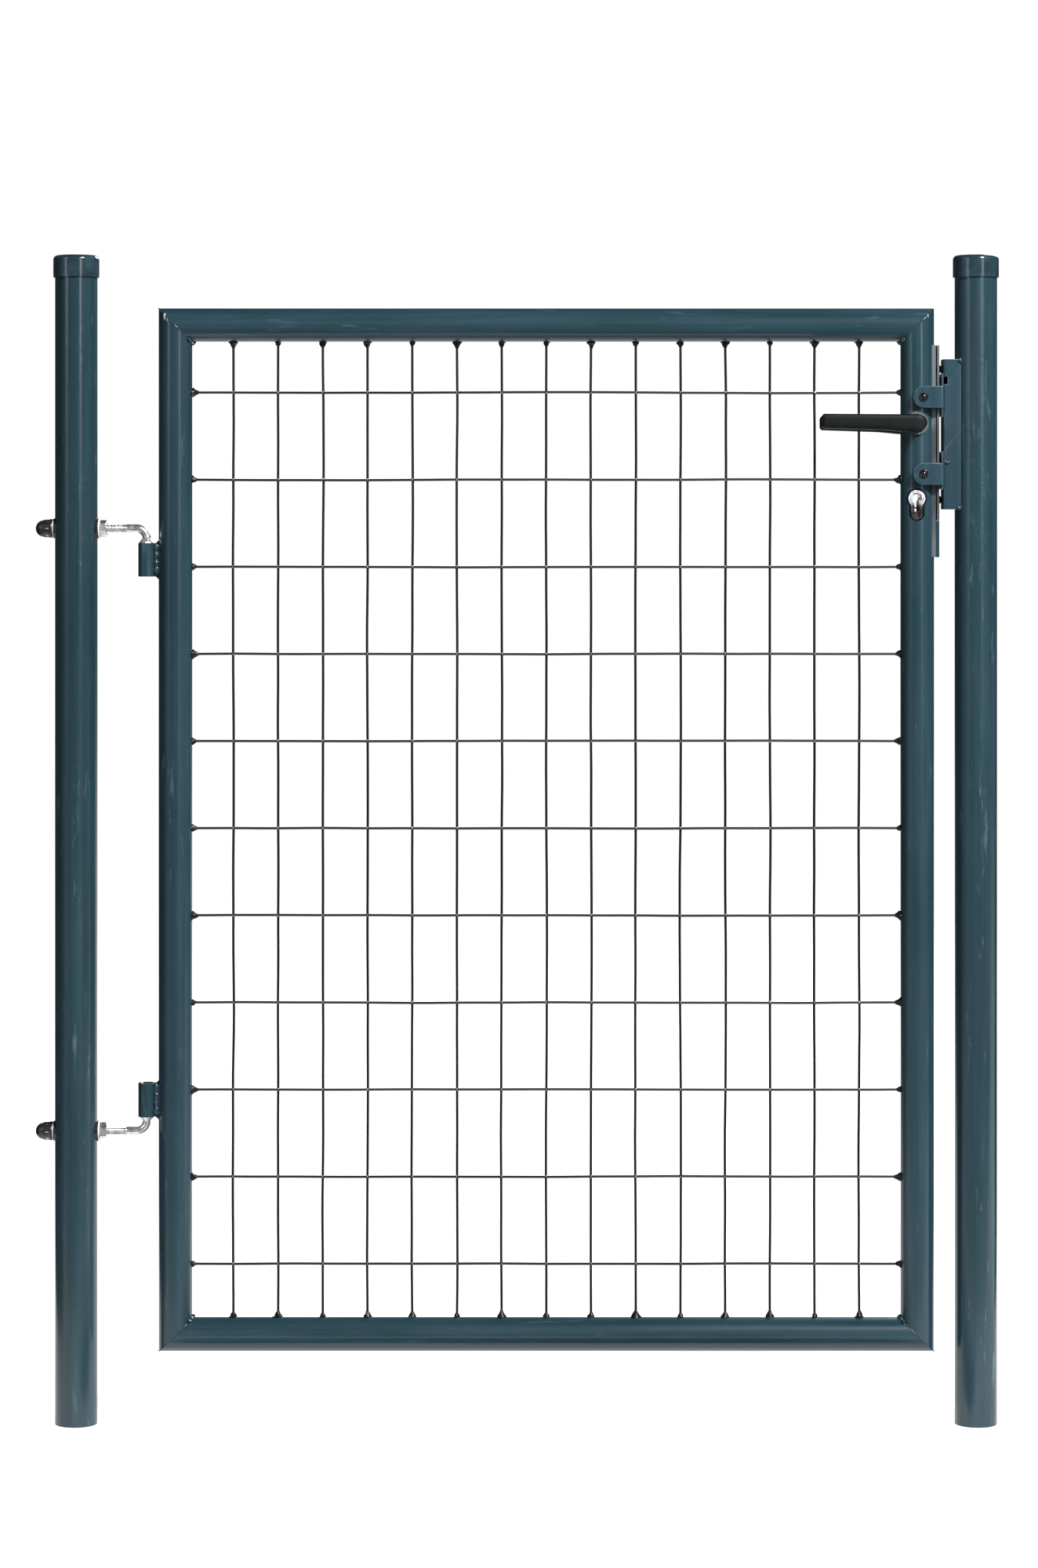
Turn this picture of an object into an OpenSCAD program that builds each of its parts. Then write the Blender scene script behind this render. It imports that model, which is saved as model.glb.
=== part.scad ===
// Garden gate: a framed mesh leaf hung on two hook bolts between round posts, with lock and striker.
// Z is up, the leaf lies in the XZ plane, its front faces -Y and the hinge post stands on the origin.
// Lengths are in millimetres.

/* [Posts] */
// Height of the post tubes
post_h = 1321; // [900:1:2200]
// Diameter of the post tubes
post_d = 48; // [38:1:80]
// Wall of the post tubes
post_wall = 2; // [1.5:0.1:4]
// Distance between the post centres
post_pitch = 1020; // [900:1:1600]
// Diameter of the post caps
cap_d = 52; // [50:0.5:90]
// Height of the post caps
cap_h = 25; // [15:1:60]
// Thickness of the top of a post cap
cap_top = 3; // [2:0.5:8]
// Rounding of the top edge of a post cap
cap_edge_r = 5; // [1:0.5:10]

/* [Leaf frame] */
// Left edge of the leaf
leaf_x0 = 93.5; // [60:0.5:140]
// Width of the leaf
leaf_w = 879; // [600:1:1400]
// Height of the leaf's bottom edge
leaf_z0 = 82; // [30:1:200]
// Height of the leaf
leaf_h = 1182; // [600:1:2000]
// Diameter of the frame tubes
tube_d = 38; // [25:1:60]
// Wall of the frame tubes
tube_wall = 1.5; // [1:0.1:3]

/* [Mesh] */
// Number of upright wires
wires_up = 15; // [5:1:30]
// Spacing of the upright wires
pitch_x = 50.7; // [30:0.1:100]
// Number of level wires
wires_level = 11; // [3:1:30]
// Spacing of the level wires
pitch_z = 98.75; // [50:0.05:200]
// Height of the lowest level wire
wire_z0 = 181; // [120:1:300]
// Diameter of the upright wires
wire_up_d = 2.8; // [2:0.1:6]
// Diameter of the level wires
wire_level_d = 2.7; // [2:0.1:6]

/* [Hinges] */
// Distance of the hinge axis from the hinge post's centre
hinge_x = 80; // [60:0.5:140]
// Height of the upper hook bolt's shank
hook_top_z = 1014.5; // [600:0.5:1800]
// Height of the lower hook bolt's shank
hook_low_z = 331.5; // [100:0.5:600]
// Diameter of the hook bolts
hook_d = 9.4; // [6:0.1:20]
// Centreline radius of the hook bolts' bend
hook_bend = 11.5; // [8:0.5:30]
// Distance from the shank's axis to the near end of the sleeve
hook_reach = 16.5; // [14:0.5:40]
// Outer diameter of the hinge sleeves
sleeve_d = 19.4; // [14:0.2:40]
// Length of the hinge sleeves
sleeve_len = 38; // [20:1:80]
// Radial running clearance between pin and sleeve
pin_gap = 0.05; // [0.01:0.01:0.1]
// Width across flats of the hinge nuts
nut_af = 17; // [10:1:30]
// Thickness of the hinge nuts
nut_h = 8.5; // [5:0.5:20]
// Diameter of the hinge washers
washer_d = 22; // [14:1:40]
// Thickness of the hinge washers
washer_t = 1.5; // [0.8:0.1:4]

/* [Lock] */
// Height of the handle's axis
handle_z = 1133.5; // [800:0.5:1600]
// Distance from the handle's axis down to the keyhole's centre
lock_pitch = 85; // [60:1:110]
// Distance from the handle's axis to the outer face of the lock plate
backset = 24; // [20:0.5:60]
// Bottom of the pocket let into the lock stile
pocket_z0 = 982; // [700:1:1500]
// Height of the pocket let into the lock stile
pocket_h = 240; // [150:1:400]
// Width of the lock plate
plate_w = 22; // [16:1:40]
// Thickness of the lock plate
plate_t = 2.4; // [1.5:0.1:4]
// Bottom of the lock plate
plate_z0 = 1023.5; // [700:0.5:1500]
// Width of the lock case
case_w = 16; // [12:0.5:20]
// Wall of the lock case
case_wall = 1.2; // [0.8:0.1:3]
// Travel of the latch bolt, which is how far it stands out at rest
latch_throw = 8; // [5:0.5:16]
// Height of the latch bolt
latch_h = 30; // [15:1:50]
// Height of the dead bolt
dead_h = 25; // [15:1:50]
// Thickness of both bolts
bolt_t = 12; // [6:0.5:16]

/* [Handles] */
// Length of a handle from its axis to its free end
grip_len = 110; // [70:1:160]
// Height of a handle's grip
grip_h = 16.5; // [12:0.5:30]
// Thickness of a handle's grip
grip_t = 15; // [8:0.5:25]
// Distance from the leaf's middle to the outer face of a grip
grip_out = 60; // [45:1:90]
// Radius of a handle's neck
neck_r = 7.5; // [7:0.5:15]
// Side of the square spindle
spindle = 8; // [6:0.5:10]

/* [Striker] */
// Bottom of the striker channel
strike_z0 = 1036; // [800:1:1400]
// Height of the striker channel
strike_h = 170; // [100:1:300]
// Width of the striker channel, front to back
strike_w = 30; // [20:1:50]
// Wall of the striker channel
strike_wall = 2; // [1:0.1:5]
// Distance from the latch post's centre to the striker's face
strike_out = 38.5; // [30:0.5:60]
// Height of each stop's tongue
tongue_h = 24; // [12:1:50]
// Distance from the leaf's middle to the outer face of the tongues
tongue_out = 25.5; // [22:0.5:40]
// Distance from the latch post's centre to a tongue's tip
tongue_reach = 73; // [50:1:100]
// Thickness of the stop plates
stop_t = 1.8; // [1:0.1:4]

/* [Hidden] */
$fn = 96;
tiny = 0.02;
post_r = post_d / 2;
tube_r = tube_d / 2;
tube_ri = tube_r - tube_wall;
cap_z0 = post_h + cap_top - cap_h;
leaf_x1 = leaf_x0 + leaf_w;
leaf_z1 = leaf_z0 + leaf_h;
hinge_stile_x = leaf_x0 + tube_r;
stile_x = leaf_x1 - tube_r;
lock_x = stile_x - 2;
low_rail_z = leaf_z0 + tube_r;
top_rail_z = leaf_z1 - tube_r;
mesh_x0 = (leaf_x0 + leaf_x1) / 2 - pitch_x * (wires_up - 1) / 2;
wire_up_y = wire_up_d / 2 + tiny;
wire_level_y = -wire_level_d / 2 - tiny;
hook_r = hook_d / 2;
sleeve_r = sleeve_d / 2;
sleeve_top_z0 = hook_top_z - hook_reach - sleeve_len;
sleeve_low_z0 = hook_low_z + hook_reach;
seat_x = post_r + 1;
nut_x = seat_x + washer_t;
bolt_end_x = nut_x + nut_h + 3.2;
nut_r = nut_af / 2 / cos(30);
saddle_r = 11.5;
cover_r = 10.7;
cover_skirt = 10.5;
dome_r = 9.2;
keyhole_z = handle_z - lock_pitch;
plate_x = stile_x + backset;
plate_z1 = pocket_z0 + pocket_h - 0.2;
pocket_x0 = stile_x + 12;
pocket_x1 = stile_x + 20;
pocket_wall = 1.5;
case_x0 = stile_x - 15.4;
case_x1 = plate_x - plate_t;
case_z0 = 1016;
case_z1 = 1189.5;
case_half = case_w / 2;
room_half = case_half - case_wall;
screw_top_z = 1195;
screw_low_z = 1047;
latch_z0 = 1155;
dead_z0 = 1072.5;
dead_rear_x = stile_x - 9.5;
tail_x = stile_x - 5.9;
hub_r = 7;
rose_r = 13.1;
rose_plug_r = 11;
latch_x = post_pitch - strike_out;
strike_back_x = post_pitch - 14;
front_y = -strike_w / 2;
tongue_x0 = post_pitch - tongue_reach;
buffer_x = tongue_x0 + tongue_h / 2 - 0.5;
stop_z = [1163, 1076];
notch_z0 = 1177.5;
window_z0 = [latch_z0 - 1.5, dead_z0 - 1.5];
window_h = [latch_h + 3, dead_h + 3];

// A cylinder along X
module x_rod(r, x0, x1) {
  translate([x0, 0, 0]) rotate([0, 90, 0]) cylinder(r = r, h = x1 - x0);
}

// A cylinder along Y
module y_rod(r, y0, y1) {
  translate([0, y0, 0]) rotate([-90, 0, 0]) cylinder(r = r, h = y1 - y0);
}

// An outline in the XZ plane, given depth along Y
module y_plate(y0, y1) {
  translate([0, y1, 0]) rotate([90, 0, 0]) linear_extrude(height = y1 - y0) children();
}

// A block between two corners
module block(a, b) {
  translate(a) cube([b[0] - a[0], b[1] - a[1], b[2] - a[2]]);
}

// The same part at both hook bolts
module at_hooks() {
  for (z = [hook_low_z, hook_top_z]) translate([0, 0, z]) children();
}

// The same part on both sides of the hinge post
module both_sides() {
  children();
  mirror([1, 0, 0]) children();
}

module post_tube() {
  difference() {
    cylinder(r = post_r, h = post_h);
    translate([0, 0, -1]) cylinder(r = post_r - post_wall, h = post_h + 2);
  }
}

module hinge_post() {
  color("#2f4650")
  difference() {
    post_tube();
    at_hooks() x_rod(hook_r + 0.5, -post_d, post_d);
  }
}

module latch_post() {
  color("#2f4650")
  translate([post_pitch, 0, 0]) post_tube();
}

module post_cap() {
  edge = cap_d / 2 - cap_edge_r;
  translate([0, 0, cap_z0])
  rotate_extrude()
  difference() {
    union() {
      square([edge, cap_h]);
      square([cap_d / 2, cap_h - cap_edge_r]);
      translate([edge, cap_h - cap_edge_r]) circle(r = cap_edge_r);
    }
    translate([0, -1]) square([post_r + 0.15, cap_h - cap_top + 1]);
  }
}

module hinge_post_cap() {
  color("#33505c")
  post_cap();
}

module latch_post_cap() {
  color("#33505c")
  translate([post_pitch, 0, 0]) post_cap();
}

// A hook bolt whose shank lies on X and whose pin points down
module hook_bolt() {
  color("#c9ccce")
  union() {
    x_rod(hook_r, -bolt_end_x, hinge_x - hook_bend);
    translate([hinge_x - hook_bend, 0, -hook_bend])
      rotate([90, 0, 0])
      rotate_extrude(angle = 90)
      translate([hook_bend, 0]) circle(r = hook_r);
    translate([hinge_x, 0, -hook_reach - 32]) cylinder(r = hook_r, h = 32 + hook_reach - hook_bend);
    translate([hinge_x, 0, -hook_reach + 0.2]) cylinder(r = 9, h = 1.2);
    translate([hinge_x, 0, -hook_reach + 1.4]) cylinder(r1 = 9, r2 = hook_r, h = 3.6);
  }
}

module upper_hook_bolt() {
  translate([0, 0, hook_top_z]) hook_bolt();
}

module lower_hook_bolt() {
  translate([0, 0, hook_low_z]) mirror([0, 0, 1]) hook_bolt();
}

// One nut on the hook bolt, turned about the bolt by angle
module hinge_nut(angle) {
  translate([nut_x, 0, 0]) rotate([0, 90, 0])
  difference() {
    rotate([0, 0, angle]) cylinder(r = nut_r, h = nut_h, $fn = 6);
    translate([0, 0, -1]) cylinder(r = hook_r + 0.1, h = nut_h + 2);
  }
}

module hinge_nuts() {
  color("#c2c5c7")
  for (h = [[hook_top_z, -10], [hook_low_z, 0]])
    translate([0, 0, h[0]]) {
      hinge_nut(h[1]);
      mirror([1, 0, 0]) hinge_nut(30);
    }
}

module hinge_washers() {
  color("#d6d8d9")
  at_hooks() both_sides()
  difference() {
    x_rod(washer_d / 2, seat_x, nut_x);
    x_rod(hook_r + 0.4, 0, post_d);
  }
}

module saddle_washers() {
  color("#15171a")
  at_hooks() both_sides()
  difference() {
    x_rod(saddle_r, post_r - 4, seat_x);
    x_rod(hook_r + 0.3, 0, post_d);
    translate([0, 0, -20]) cylinder(r = post_r + tiny, h = 40);
  }
}

// A plastic nut cover that opens at Z = 0 and ends in a dome
module bolt_cover() {
  difference() {
    union() {
      cylinder(r = cover_r, h = cover_skirt, $fn = 6);
      translate([0, 0, cover_skirt - 0.3]) rotate_extrude() intersection() {
        circle(r = dome_r);
        square(dome_r + 1);
      }
    }
    translate([0, 0, -1]) cylinder(r = nut_r + 0.1, h = nut_h + 1.2, $fn = 6);
    translate([0, 0, -1]) cylinder(r = hook_r + 0.5, h = nut_h + 4.6);
  }
}

module bolt_caps() {
  color("#101214")
  at_hooks()
  translate([-nut_x, 0, 0]) rotate([0, -90, 0]) rotate([0, 0, 30]) bolt_cover();
}

// The bolt windows, cut through the striker's face
module strike_windows(grow) {
  for (i = [0, 1])
    block([latch_x - 9, -bolt_t / 2 - grow, window_z0[i]], [latch_x + 6, bolt_t / 2 + grow,
      window_z0[i] + window_h[i]]);
}

module strike_channel() {
  color("#33505c")
  difference() {
    block([latch_x, front_y, strike_z0], [strike_back_x, -front_y, strike_z0 + strike_h]);
    block([latch_x + strike_wall, front_y + strike_wall, strike_z0 - 1],
      [strike_back_x + 1, -front_y - strike_wall, strike_z0 + strike_h + 1]);
    strike_windows(3);
    block([latch_x - 1, front_y - 1, notch_z0], [latch_x + 5, 0, window_z0[0] + window_h[0]]);
    translate([post_pitch, 0, strike_z0 - 1]) cylinder(r = post_r + tiny, h = strike_h + 2);
  }
}

// A stop plate on the striker's face, with its tongue bent forward in front of the stile
module stop_plate(z, z0, z1) {
  difference() {
    union() {
      block([latch_x - stop_t, -tongue_out + 2, z0], [latch_x, 11, z1]);
      y_plate(-tongue_out, -tongue_out + 2) {
        translate([tongue_x0 + tongue_h / 2, z]) circle(d = tongue_h);
        translate([tongue_x0 + tongue_h / 2, z - tongue_h / 2])
          square([latch_x - tongue_x0 - tongue_h / 2, tongue_h]);
      }
    }
    strike_windows(2);
    for (s = [[z0 - 1, z - tongue_h / 2], [z + tongue_h / 2, z1 + 1]])
      block([latch_x - 9, -tongue_out - 1, s[0]], [latch_x + 1, front_y, s[1]]);
    translate([buffer_x, 0, z]) y_rod(4.7, -tongue_out - 1, -tongue_out + 3);
  }
}

module upper_stop_plate() {
  color("#3a5865")
  stop_plate(stop_z[0], 1141, 1189.5);
}

module lower_stop_plate() {
  color("#3a5865")
  stop_plate(stop_z[1], 1059, 1101.5);
}

module stop_buffers() {
  color("#0d0e10")
  for (z = stop_z)
    translate([buffer_x, 0, z])
    union() {
      y_rod(8, -tongue_out + 2.05, -tube_r - 0.3);
      y_rod(4.5, -tongue_out - 1, -tongue_out + 3);
      intersection() {
        y_rod(5.3, -tongue_out - 4, -tongue_out - 0.1);
        translate([0, -tongue_out + 3.1, 0]) sphere(r = 6.2);
      }
    }
}

// The outline, in the XZ plane, that cuts a frame tube to its mitres
module stile_tube(x) {
  translate([x, 0, leaf_z0 - 10])
  difference() {
    cylinder(r = tube_r, h = leaf_h + 20);
    translate([0, 0, -1]) cylinder(r = tube_ri, h = leaf_h + 22);
  }
}

module rail_tube(z) {
  translate([0, 0, z])
  difference() {
    x_rod(tube_r, leaf_x0 - 10, leaf_x1 + 10);
    x_rod(tube_ri, leaf_x0 - 11, leaf_x1 + 11);
  }
}

module hinge_stile() {
  a = 5;
  b = tube_d + 5;
  color("#3b5866")
  intersection() {
    stile_tube(hinge_stile_x);
    y_plate(-tube_d, tube_d) polygon([[leaf_x0 - a, leaf_z0 - a], [leaf_x0 + b, leaf_z0 + b],
      [leaf_x0 + b, leaf_z1 - b], [leaf_x0 - a, leaf_z1 + a]]);
  }
}

// The opening round the keyhole, wide at the top and narrow below
module keyhole_cut() {
  translate([lock_x, keyhole_z]) circle(r = 11.3);
  translate([lock_x - 8.5, keyhole_z - 17]) square([17, 17]);
  translate([lock_x, keyhole_z - 17]) circle(r = 8.5);
}

module lock_stile() {
  a = 5;
  b = tube_d + 5;
  color("#3b5866")
  difference() {
    intersection() {
      stile_tube(stile_x);
      y_plate(-tube_d, tube_d) polygon([[leaf_x1 + a, leaf_z0 - a], [leaf_x1 - b, leaf_z0 + b],
        [leaf_x1 - b, leaf_z1 - b], [leaf_x1 + a, leaf_z1 + a]]);
    }
    block([stile_x + 8, -plate_w / 2 - tiny, pocket_z0 - tiny],
      [stile_x + 30, plate_w / 2 + tiny, pocket_z0 + pocket_h + tiny]);
    translate([lock_x, 0, handle_z]) y_rod(rose_plug_r + 0.05, -tube_d, tube_d);
    y_plate(-tube_d, tube_d) keyhole_cut();
  }
}

module top_rail() {
  a = 5;
  b = tube_d + 5;
  color("#3b5866")
  intersection() {
    rail_tube(top_rail_z);
    y_plate(-tube_d, tube_d) polygon([[leaf_x0 - a, leaf_z1 + a], [leaf_x1 + a, leaf_z1 + a],
      [leaf_x1 - b, leaf_z1 - b], [leaf_x0 + b, leaf_z1 - b]]);
  }
}

module bottom_rail() {
  a = 5;
  b = tube_d + 5;
  color("#3b5866")
  intersection() {
    rail_tube(low_rail_z);
    y_plate(-tube_d, tube_d) polygon([[leaf_x0 - a, leaf_z0 - a], [leaf_x1 + a, leaf_z0 - a],
      [leaf_x1 - b, leaf_z0 + b], [leaf_x0 + b, leaf_z0 + b]]);
  }
}

module upright_wires() {
  color("#0e1418")
  for (i = [0 : wires_up - 1])
    translate([mesh_x0 + i * pitch_x, wire_up_y, leaf_z0 + tube_d + tiny])
    cylinder(d = wire_up_d, h = leaf_h - 2 * tube_d - 2 * tiny);
}

module level_wires() {
  color("#3c5058")
  for (i = [0 : wires_level - 1])
    translate([0, wire_level_y, wire_z0 + i * pitch_z])
    x_rod(wire_level_d / 2, leaf_x0 + tube_d + tiny, leaf_x1 - tube_d - tiny);
}

// A hinge sleeve whose bore is eased at both ends
module hinge_sleeve() {
  color("#3b5866")
  translate([hinge_x, 0, 0])
  difference() {
    cylinder(r = sleeve_r, h = sleeve_len);
    translate([0, 0, -1]) cylinder(r = hook_r + pin_gap, h = sleeve_len + 2);
    translate([0, 0, sleeve_len - 1.4]) cylinder(r1 = hook_r, r2 = 6.4, h = 1.7);
    translate([0, 0, -0.3]) cylinder(r1 = 6.4, r2 = hook_r, h = 1.7);
  }
}

module upper_hinge_sleeve() {
  translate([0, 0, sleeve_top_z0]) hinge_sleeve();
}

module lower_hinge_sleeve() {
  translate([0, 0, sleeve_low_z0]) hinge_sleeve();
}

// The welded webs that join the sleeves to the hinge stile
module sleeve_webs() {
  color("#344f5b")
  difference() {
    for (z = [sleeve_low_z0, sleeve_top_z0])
      y_plate(-4, 4) polygon([[hinge_x + 6, z], [hinge_x + 10.5, z], [hinge_x + 14, z - 3.5],
        [hinge_x + 18, z - 3.5], [hinge_x + 18, z + sleeve_len + 3.5],
        [hinge_x + 14, z + sleeve_len + 3.5], [hinge_x + 10.5, z + sleeve_len],
        [hinge_x + 6, z + sleeve_len]]);
    translate([hinge_x, 0, 0]) cylinder(r = sleeve_r + tiny, h = leaf_z1);
    translate([hinge_stile_x, 0, 0]) cylinder(r = tube_r + tiny, h = leaf_z1);
  }
}

module lock_pocket() {
  w = plate_w / 2;
  color("#6f7f86")
  difference() {
    union() {
      difference() {
        block([pocket_x0, -w, pocket_z0], [pocket_x1, w, pocket_z0 + pocket_h]);
        block([pocket_x0 - 1, -w + pocket_wall, pocket_z0 + pocket_wall],
          [pocket_x1 + 1, w - pocket_wall, pocket_z0 + pocket_h - pocket_wall]);
      }
      block([pocket_x1 - 4, -w, case_z1 + 0.5], [pocket_x1, w, pocket_z0 + pocket_h]);
      block([pocket_x1 - 4, -w, pocket_z0], [pocket_x1, w, case_z0 - 0.5]);
    }
    translate([0, 0, screw_top_z]) x_rod(2.6, pocket_x0 - 1, pocket_x1 + 1);
  }
}

module pocket_strip() {
  color("#27383f")
  block([pocket_x1, -plate_w / 2, pocket_z0], [plate_x, plate_w / 2, plate_z0 - 0.2]);
}

// The euro profile of the keyhole insert, grown for its hole
module profile(grow) {
  translate([lock_x, keyhole_z]) circle(r = 9.5 + grow);
  translate([lock_x - 6.8 - grow, keyhole_z - 17.2]) square([13.6 + 2 * grow, 17.2]);
  translate([lock_x, keyhole_z - 17.2]) circle(r = 6.8 + grow);
}

// The step in the case's lower front corner, which leaves room for the strip below the plate
module case_step() {
  block([pocket_x1 - 0.2, -case_half - 1, case_z0 - 1], [case_x1 + 1, case_half + 1, plate_z0]);
}

// One side wall of the lock case, with its hub hole and profile hole
module case_side(y0, y1) {
  difference() {
    block([case_x0, y0, case_z0], [case_x1, y1, case_z1]);
    case_step();
    translate([lock_x, 0, handle_z]) y_rod(hub_r + 0.05, y0 - 1, y1 + 1);
    y_plate(y0 - 1, y1 + 1) profile(0.15);
  }
}

module lock_case() {
  color("#9aa0a3")
  union() {
    case_side(-case_half, -room_half);
    difference() {
      block([case_x0, -room_half, case_z0], [case_x1, room_half, case_z1]);
      block([case_x0 + case_wall, -case_half - 1, case_z0 + case_wall],
        [case_x1 + 1, case_half + 1, case_z1 - case_wall]);
      case_step();
    }
  }
}

module lock_cover() {
  color("#a4aaad")
  case_side(room_half, case_half);
}

module lock_plate() {
  slack = 0.3;
  color("#8e979b")
  difference() {
    block([case_x1, -plate_w / 2, plate_z0], [plate_x, plate_w / 2, plate_z1]);
    for (b = [[latch_z0, latch_h], [dead_z0, dead_h]])
      block([case_x1 - 1, -bolt_t / 2 - slack, b[0] - slack],
        [plate_x + 1, bolt_t / 2 + slack, b[0] + b[1] + slack]);
    for (z = [screw_top_z, screw_low_z]) translate([0, 0, z]) x_rod(2.6, case_x1 - 1, plate_x + 1);
  }
}

module plate_screws() {
  color("#b9bdbf")
  for (s = [[screw_top_z, pocket_x0 + 1], [screw_low_z, lock_x + 6.5]])
    translate([0, 0, s[0]])
    difference() {
      union() {
        x_rod(2.45, s[1], plate_x);
        x_rod(4.5, plate_x, plate_x + 3.4);
      }
      translate([plate_x + 2, -0.6, -4]) cube([2, 1.2, 8]);
      translate([plate_x + 2, -4, -0.6]) cube([2, 8, 1.2]);
    }
}

module key_insert() {
  front = 17.2;
  color("#b4b8ba")
  difference() {
    y_plate(-front, front) profile(0);
    translate([lock_x, 0, keyhole_z + 0.5]) y_rod(4.15, -30, 30);
    for (s = [-1, 1])
      translate([lock_x, 0, keyhole_z + 0.5]) y_rod(6, s * (front - 1.25) - 1.75, s * (front - 1.25) + 1.75);
    difference() {
      block([lock_x - 2.6, -30, keyhole_z - 14.8], [lock_x + 2.6, 30, keyhole_z]);
      block([lock_x - 3, -1.5, keyhole_z - 11.4], [lock_x + 3, 1.5, keyhole_z - 9.7]);
    }
    translate([0, 0, screw_low_z]) x_rod(2.6, lock_x + 6, lock_x + 12);
  }
}

module rose() {
  color("#7d888d")
  translate([lock_x, 0, handle_z])
  difference() {
    union() {
      difference() {
        y_rod(rose_r, -22.5, -11);
        translate([stile_x - lock_x, 0, -20]) cylinder(r = tube_r + tiny, h = 40);
      }
      y_rod(rose_plug_r, -22, -case_half - 0.3);
    }
    y_rod(neck_r + 0.3, -30, 0);
  }
}

module front_rose() {
  rose();
}

module rear_rose() {
  mirror([0, 1, 0]) rose();
}

// Two coils round the follower's hub, with a leg down into the case
module follower_spring() {
  color("#8b9093")
  translate([lock_x, 0, handle_z])
  union() {
    for (y = [4.4, 5.7])
      translate([0, y, 0]) rotate([90, 0, 0]) rotate_extrude() translate([9.2, 0]) circle(r = 0.5);
    translate([9.2, 0, 0]) y_rod(0.5, 4.4, 5.7);
    translate([0, 5.7, -17]) cylinder(r = 0.45, h = 7.8);
  }
}

// A bent strip that presses on top of the dead bolt
module detent_spring() {
  x = case_x0 + case_wall;
  z = dead_z0 + dead_h;
  color("#8b9093")
  y_plate(-4, 4) polygon([[x, z + 5], [x + 12, z + 5], [x + 20, z + 0.4], [x + 24, z + 4],
    [x + 23.6, z + 4.8], [x + 20, z + 1.6], [x + 12.4, z + 5.8], [x, z + 5.8]]);
}

module handle(length) {
  top = grip_h - 6.7;
  color("#141619")
  translate([lock_x, 0, handle_z])
  difference() {
    union() {
      y_rod(neck_r, -grip_out + 5, -case_half - 0.6);
      y_plate(-grip_out, -grip_out + grip_t) {
        translate([-4.2, -1.2]) circle(r = 10.8);
        polygon([[-length, -4.7], [2 - length, -6.7], [-37, -8.9], [-20, -10.6], [-6, -11.8],
          [-4.2, -1.2], [-6, 9.4], [-20, top - 0.6], [2 - length, top], [-length, top - 2.5]]);
      }
    }
    block([-spindle / 2 - 0.05, -grip_out + 12, -spindle / 2 - 0.05],
      [spindle / 2 + 0.05, 0, spindle / 2 + 0.05]);
    translate([0, -32, -neck_r - 2]) cylinder(r = 2.5, h = 9);
  }
}

module front_handle() {
  handle(grip_len);
}

module rear_handle() {
  mirror([0, 1, 0]) handle(grip_len - 5.5);
}

module spindle() {
  color("#a9aeb1")
  translate([lock_x, 0, handle_z])
  block([-spindle / 2, -grip_out + 13, -spindle / 2], [spindle / 2, grip_out - 13, spindle / 2]);
}

module follower() {
  half = spindle / 2 + 0.05;
  color("#b58a4a")
  translate([lock_x, 0, handle_z])
  difference() {
    union() {
      y_rod(hub_r, -case_half - 0.2, case_half + 0.2);
      y_rod(8, -room_half + 0.3, room_half - 0.3);
      block([-1.8, -3, 0], [1.8, 3, 14]);
    }
    block([-half, -20, -half], [half, 20, half]);
  }
}

module grub_screws() {
  color("#2a2c2e")
  for (s = [-1, 1])
    translate([lock_x, s * 32, handle_z - neck_r + 0.5])
    cylinder(r = 2.4, h = neck_r - 0.5 - spindle / 2 - tiny);
}

module latch_bolt() {
  nose = plate_x + latch_throw;
  half = bolt_t / 2;
  color("#b99a5b")
  union() {
    translate([0, 0, latch_z0]) linear_extrude(height = latch_h) polygon([[stile_x + 4.5, -half],
      [plate_x + 0.5, -half], [nose, half - 1.5], [nose, half], [stile_x + 4.5, half]]);
    block([tail_x, -3, latch_z0], [stile_x + 5, 3, latch_z0 + 8]);
    block([tail_x, -3, handle_z + 9.8], [tail_x + 1.6, 3, latch_z0 + 1]);
  }
}

// The return spring behind the latch bolt, drawn at its shortest
module latch_spring() {
  color("#8b9093")
  translate([tail_x + 0.4, 0, latch_z0 + 19])
  for (i = [0 : 4])
    translate([0.9 + i * 1.9, 0, 0]) rotate([0, 90, 0])
    rotate_extrude() translate([4.2, 0]) circle(r = 0.6);
}

module dead_bolt() {
  half = bolt_t / 2;
  color("#b99a5b")
  difference() {
    block([dead_rear_x, -half, dead_z0], [plate_x, half, dead_z0 + dead_h]);
    translate([lock_x, 0, dead_z0]) y_rod(5, -20, 20);
    translate([case_x0 + case_wall + 20, 0, dead_z0 + dead_h + 1]) y_rod(2.2, -20, 20);
  }
}

hinge_post();
latch_post();
hinge_post_cap();
latch_post_cap();
upper_hook_bolt();
lower_hook_bolt();
hinge_nuts();
hinge_washers();
saddle_washers();
bolt_caps();
strike_channel();
upper_stop_plate();
lower_stop_plate();
stop_buffers();
hinge_stile();
lock_stile();
top_rail();
bottom_rail();
upright_wires();
level_wires();
upper_hinge_sleeve();
lower_hinge_sleeve();
sleeve_webs();
lock_pocket();
pocket_strip();
lock_case();
lock_cover();
lock_plate();
plate_screws();
key_insert();
front_rose();
rear_rose();
follower_spring();
detent_spring();
front_handle();
rear_handle();
spindle();
follower();
grub_screws();
latch_bolt();
latch_spring();
dead_bolt();
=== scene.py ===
"""Looks for the tubular garden gate: finishes for the CAD nodes, and detailed pieces over some of them."""

import math
import random

import bpy
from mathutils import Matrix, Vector, noise


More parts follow.
